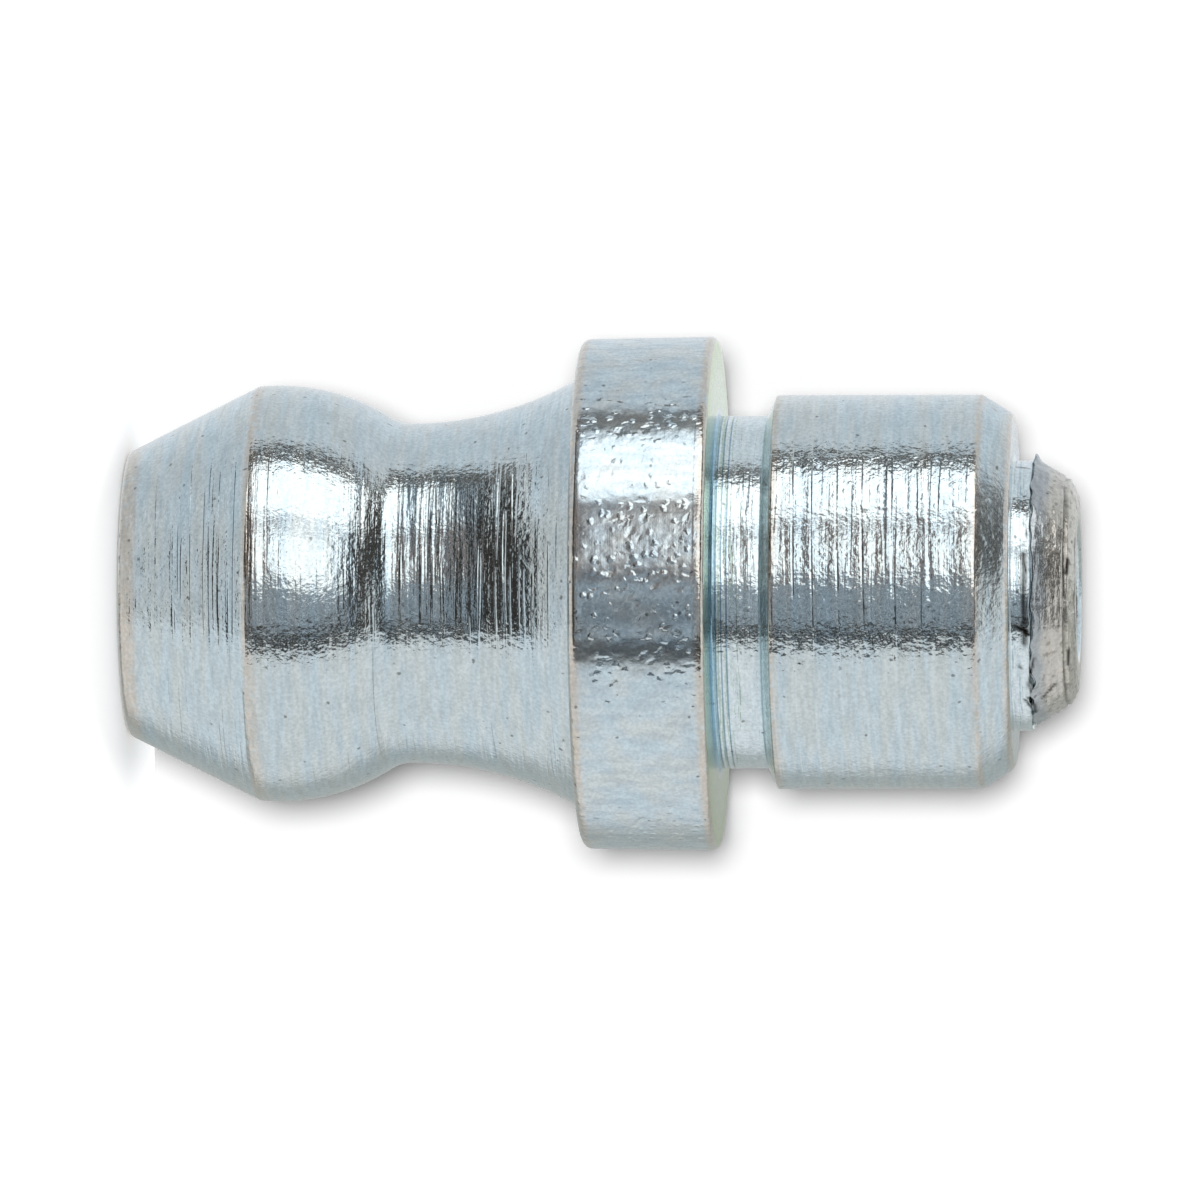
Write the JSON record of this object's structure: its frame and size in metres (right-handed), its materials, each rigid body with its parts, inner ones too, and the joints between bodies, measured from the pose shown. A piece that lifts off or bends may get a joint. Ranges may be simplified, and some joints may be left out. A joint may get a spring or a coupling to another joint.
{
  "type": "grease nipple",
  "caption": "Straight press-in grease nipple: coupler head, flared neck, round collar, plain shank with a rolled-in end, and a sprung check ball behind the inlet.",
  "frame": {"origin": "centre of the flat face of the coupler head, which the nipple stands on", "axes": "+Z along the turned axis, from the head's face to the rolled-in end of the shank; X and Y are any two radii"},
  "size_m": [0.008, 0.008, 0.0147],
  "materials": {
    "zinc_plated_steel": "satin",
    "ball_steel": "polished",
    "spring_steel": "satin"
  },
  "bodies": {
    "nipple": {"nipple_body": "zinc_plated_steel", "ball_spring": "spring_steel"},
    "ball": {"check_ball": "ball_steel"}
  },
  "joints": [
    {"name": "ball_slide", "type": "slide", "parent": "nipple", "child": "ball", "axis": [0, 0, 1], "range_m": [0, 0.001], "stiffness_N_per_m": 650, "springref_m": -0.002, "deforming": ["ball_spring"]}
  ]
}
